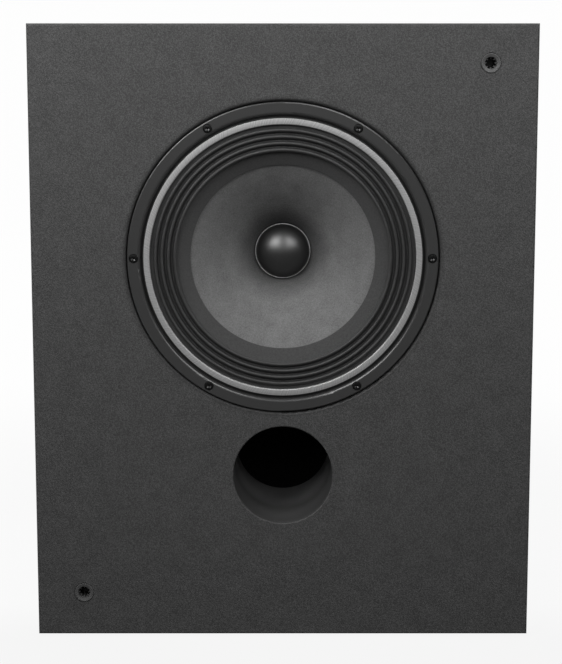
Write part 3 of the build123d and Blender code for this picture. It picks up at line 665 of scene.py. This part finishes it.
oneScrew = bpy.data.meshes.new("crossScrew")
bm = crossScrew()
bm.to_mesh(oneScrew)
bm.free()
allScrews = bmesh.new()
for index, turn in enumerate(screwSize["turns"]):
    spot = 2 * math.pi * index / len(screwSize["turns"])
    start = len(allScrews.verts)
    allScrews.from_mesh(oneScrew)
    allScrews.verts.ensure_lookup_table()
    fresh = allScrews.verts[start:]
    axis = Vector((0, faceY, driverZ))
    bmesh.ops.rotate(allScrews, cent=axis, matrix=Matrix.Rotation(math.radians(turn), 3, "Y"), verts=fresh)
    place = Vector((math.cos(spot), 0, math.sin(spot))) * screwSize["circle"] * mm
    bmesh.ops.translate(allScrews, vec=place, verts=fresh)
bpy.data.meshes.remove(oneScrew)
screws = addPiece("flangeScrews", allScrews, blackSteel, "cabinet", 20)
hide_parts("driver_screws")

# The spider is a flat collar, low waves and a flat outer foot, glued to the shelf
spiderSize = {
    "inner": 19.3, "wavesFrom": 21.3, "wavesTo": 39.5, "outer": 46.75, "waves": 3.5, "height": 1.3,
    "cloth": 0.5, "points": 85, "steps": 120,
}
spiderLow, spiderHigh = nodeDepths("spider")
spiderLine = (spiderLow + spiderHigh) / 2
waveLine = []
for r in between(spiderSize["wavesFrom"], spiderSize["wavesTo"], spiderSize["points"]):
    share = (r - spiderSize["wavesFrom"]) / (spiderSize["wavesTo"] - spiderSize["wavesFrom"])
    rise = math.sin(2 * math.pi * spiderSize["waves"] * share)
    waveLine.append((r, spiderLine - spiderSize["height"] * rise))
midLine = [(spiderSize["inner"], spiderLine)] + waveLine + [(spiderSize["outer"], spiderLine)]
thin = spiderSize["cloth"] / 2
spiderFace = [(r, d - thin) for r, d in midLine]
spiderBack = [(r, d + thin) for r, d in midLine[::-1]]
spiderDisc = addPiece(
    "spiderDisc",
    spunSection(spiderFace + spiderBack, steps=spiderSize["steps"]),
    spiderCloth,
)
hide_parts("spider")
shareMotion(spiderDisc, spiderSize["wavesTo"], spiderSize["wavesFrom"])
print("round pieces spun")


# Wadding pads: flat where they are glued, lumpy and crowned where they face the box's air

padSize = {
    "cuts": 22, "crown": 0.35, "crownPower": 6, "lump": 26 * mm, "lumpHeight": 2.2 * mm, "shrink": 3 * mm,
    "smoothing": 0.4,
}


def waddingPad(name, node, axis, wallSide):
    low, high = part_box(node)
    middle = (low + high) / 2
    bm = bmesh.new()
    bmesh.ops.create_cube(bm, size=1)
    bmesh.ops.scale(bm, vec=high - low, verts=bm.verts[:])
    bmesh.ops.translate(bm, vec=middle, verts=bm.verts[:])
    bmesh.ops.subdivide_edges(bm, edges=bm.edges[:], cuts=padSize["cuts"], use_grid_fill=True)
    others = [i for i in range(3) if i != axis]
    depth = high[axis] - low[axis]
    for vert in bm.verts:
        away = (vert.co[axis] - low[axis]) / depth
        if wallSide > 0:
            away = 1 - away
        edge = max(abs(vert.co[i] - middle[i]) / (high[i] - low[i]) * 2 for i in others)
        lump = noise.noise(vert.co / padSize["lump"]) * padSize["lumpHeight"] - padSize["lumpHeight"]
        sink = padSize["crown"] * depth * edge ** padSize["crownPower"]
        vert.co[axis] += wallSide * away * (sink - lump)
        for i in others:
            reach = 1 - away ** 2 * padSize["shrink"] / (high[i] - low[i]) * 2
            vert.co[i] = middle[i] + (vert.co[i] - middle[i]) * reach
    bmesh.ops.smooth_vert(
        bm, verts=bm.verts[:], factor=padSize["smoothing"], use_axis_x=True, use_axis_y=True, use_axis_z=True
    )
    pad = addPiece(name, bm, wadding, "cabinet", 80)
    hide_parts(node)


waddingPad("waddingLeft", "damping_pad_left", 0, -1)
waddingPad("waddingRight", "damping_pad_right", 0, 1)
waddingPad("waddingBack", "damping_pad_back", 1, 1)
print("wadding made")


# Leads: smooth tubes along the same route points as the solids, in millimetres
# A route's points are steps back and up, first from its start and then from its end

wires = {
    "radius": 1.25, "start": (-70.0, 191.178), "end": (93.2, 120.674), "startX": 10.0, "endX": 9.5,
    "fromStart": [(0, 0), (22, 0), (45, -12), (74, -42)], "toEnd": [(-52, -5), (-24, 0), (0, 0)],
}
tinsel = {
    "radius": 0.6, "side": 10.0, "start": (46.5, -75.572), "end": (25.535, -39.683),
    "fromStart": [(0, 0), (-17, 0), (-25, 10), (-22, 21)], "toEnd": [(5, -7), (0, 0)],
}


def leadTube(name, points, radius, material, body=None):
    curve = bpy.data.curves.new(name, "CURVE")
    curve.dimensions = "3D"
    curve.resolution_u = 12
    curve.bevel_depth = radius * mm
    curve.bevel_resolution = 4
    curve.use_fill_caps = True
    spline = curve.splines.new("NURBS")
    spline.points.add(len(points) - 1)
    for point, place in zip(spline.points, points):
        point.co = (*(value * mm for value in place), 1)
    spline.order_u = 3
    spline.use_endpoint_u = True
    guide = bpy.data.objects.new(name + "Guide", curve)
    bm = bmesh.new()
    bm.from_mesh(bpy.data.meshes.new_from_object(guide))
    bpy.data.objects.remove(guide)
    return addPiece(name, bm, material, body)


for side, colour, cover in ((-1, "red", redCover), (1, "black", blackCover)):
    y, z = wires["start"]
    endY, endZ = wires["end"]
    x, endX = side * wires["startX"], side * wires["endX"]
    route = [(x, y + back, z + up) for back, up in wires["fromStart"]]
    route += [(endX, endY + back, endZ + up) for back, up in wires["toEnd"]]
    wire = leadTube(colour + "LeadWire", route, wires["radius"], cover, "cabinet")
    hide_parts(colour + "_lead_wire")

# Each flexible lead starts on the frame's terminal strip and ends on the cone
leads = []
for side in (-1, 1):
    x = side * tinsel["side"]
    y, z = tinsel["start"]
    endY, endZ = tinsel["end"]
    path = [(y + back, z + up) for back, up in tinsel["fromStart"]]
    path += [(endY + back, endZ + up) for back, up in tinsel["toEnd"]]
    route = [(x, faceY / mm + depth, driverZ / mm + height) for depth, height in path]
    lead = leadTube("tinselLeft" if side < 0 else "tinselRight", route, tinsel["radius"], copper)
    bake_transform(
        lead, "cabinet", "moving_cone",
        (x * mm, faceY + endY * mm, driverZ + (z + 2) * mm),
        (x * mm, faceY + endY * mm, driverZ + (endZ - 1) * mm),
    )
    leads.append(lead)
for lead in leads:
    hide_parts("tinsel_leads")
print("leads made")


# Stage, lights and camera

stage = {
    "floorSize": 14.0, "wallAt": 2.4, "frontPaper": "#6a6a6a", "backPaper": "#ececec",
    "whiteFrom": -0.15, "whiteBy": -0.05, "nearAt": 0.3, "nearGlow": 0.9, "farAt": 0.9, "farGlow": 0.98,
}


def paperSweep():
    # paper sweep: the eye sees it lit white and faintly shaded, while less of it reflects back at the front
    material, tree, shader, place = newMaterial("paperSweep", stage["backPaper"], 0.9)
    along = addNode(tree, "ShaderNodeSeparateXYZ", feeds={"Vector": place}).outputs["Y"]
    behind = addNode(
        tree, "ShaderNodeMapRange", {"From Min": stage["whiteFrom"], "From Max": stage["whiteBy"]},
        {"Value": along}, interpolation_type="SMOOTHSTEP",
    ).outputs["Result"]
    colour = addNode(
        tree, "ShaderNodeValToRGB", feeds={"Fac": behind},
        stops=[(0.0, stage["frontPaper"]), (1.0, stage["backPaper"])],
    )
    dress(tree, shader, Base_Color=colour.outputs["Color"])
    away = addNode(tree, "ShaderNodeVectorMath", feeds={0: place}, operation="LENGTH").outputs["Value"]
    glow = addNode(
        tree, "ShaderNodeMapRange",
        {
            "From Min": stage["nearAt"], "From Max": stage["farAt"],
            "To Min": stage["nearGlow"], "To Max": stage["farGlow"],
        },
        {"Value": away}, interpolation_type="SMOOTHSTEP",
    ).outputs["Result"]
    path = addNode(tree, "ShaderNodeLightPath").outputs
    gloss = addNode(
        tree, "ShaderNodeMath", feeds={0: path["Is Glossy Ray"], 1: path["Is Transmission Ray"]},
        operation="MAXIMUM",
    ).outputs[0]
    gloss = addNode(tree, "ShaderNodeMath", feeds={0: gloss, 1: behind}, operation="MULTIPLY").outputs[0]
    seen = addNode(
        tree, "ShaderNodeMath", feeds={0: path["Is Camera Ray"], 1: gloss}, operation="MAXIMUM"
    ).outputs[0]
    amount = addNode(tree, "ShaderNodeMath", feeds={0: seen, 1: glow}, operation="MULTIPLY").outputs[0]
    light = addNode(tree, "ShaderNodeEmission", {"Color": (1, 1, 1, 1), "Strength": 1.0})
    mix = addNode(
        tree, "ShaderNodeMixShader",
        feeds={0: amount, 1: shader.outputs["BSDF"], 2: light.outputs["Emission"]},
    )
    tree.links.new(mix.outputs["Shader"], tree.nodes["Material Output"].inputs["Surface"])
    return material


def stageSheet(name, corners, material):
    bm = bmesh.new()
    bm.faces.new([bm.verts.new(corner) for corner in corners])
    mesh = bpy.data.meshes.new(name)
    bm.to_mesh(mesh)
    bm.free()
    sheet = bpy.data.objects.new(name, mesh)
    bpy.context.scene.collection.objects.link(sheet)
    mesh.materials.append(material)


half = stage["floorSize"] / 2
wallY = stage["wallAt"]
sweep = paperSweep()
foldLeft, foldRight = (-half, wallY, 0), (half, wallY, 0)
stageSheet("paperFloor", [(-half, -half, 0), (half, -half, 0), foldRight, foldLeft], sweep)
stageSheet("paperWall", [foldLeft, foldRight, (half, wallY, half), (-half, wallY, half)], sweep)

lamps = {
    "softBoxLeft": {
        "place": (-0.53, -0.76, 1.0), "aim": (0.0, faceY, 0.8), "size": 0.64, "tall": 1.2, "power": 11.9,
    },
    "softBoxRight": {
        "place": (0.53, -0.76, 1.0), "aim": (0.0, faceY, 0.8), "size": 0.64, "tall": 1.2, "power": 7.7,
    },
    "frontFill": {
        "place": (0.0, -2.2, 1.1), "aim": (0.0, faceY, 0.2), "size": 1.0, "tall": 1.0, "power": 3.0,
    },
    "backFill": {
        "place": (0.0, 1.9, 1.6), "aim": (0.0, 0.1, 0.2), "size": 1.4, "tall": 1.0, "power": 14.0,
    },
}
for name, lamp in lamps.items():
    light = bpy.data.lights.new(name, "AREA")
    light.shape = "RECTANGLE"
    light.size = lamp["size"]
    light.size_y = lamp["size"] * lamp["tall"]
    light.energy = lamp["power"]
    holder = bpy.data.objects.new(name, light)
    holder.location = lamp["place"]
    facing = Vector(lamp["aim"]) - Vector(lamp["place"])
    holder.rotation_euler = facing.to_track_quat("-Z", "Y").to_euler()
    bpy.context.scene.collection.objects.link(holder)

room = {"strength": 0.04, "seen": 1.0}
world = bpy.data.worlds.new("studioRoom")
world.use_nodes = True
backdrop = world.node_tree.nodes["Background"]
backdrop.inputs["Color"].default_value = (1, 1, 1, 1)
eye = addNode(world.node_tree, "ShaderNodeLightPath").outputs["Is Camera Ray"]
level = addNode(
    world.node_tree, "ShaderNodeMapRange", {"To Min": room["strength"], "To Max": room["seen"]},
    {"Value": eye},
)
world.node_tree.links.new(level.outputs["Result"], backdrop.inputs["Strength"])
bpy.context.scene.world = world

view = {
    "distance": 1.2410, "height": 0.42, "aside": -0.00127, "pitch": 9.3196, "lens": 100.475, "sensor": 36.0,
}
cameraData = bpy.data.cameras.new("camera")
cameraData.lens = view["lens"]
cameraData.sensor_width = view["sensor"]
camera = bpy.data.objects.new("camera", cameraData)
camera.location = (view["aside"], faceY - view["distance"], view["height"])
camera.rotation_euler = (math.radians(90 - view["pitch"]), 0, 0)
bpy.context.scene.collection.objects.link(camera)
bpy.context.scene.camera = camera
bpy.context.scene.view_settings.view_transform = "Standard"
print("stage, lamps and camera set")
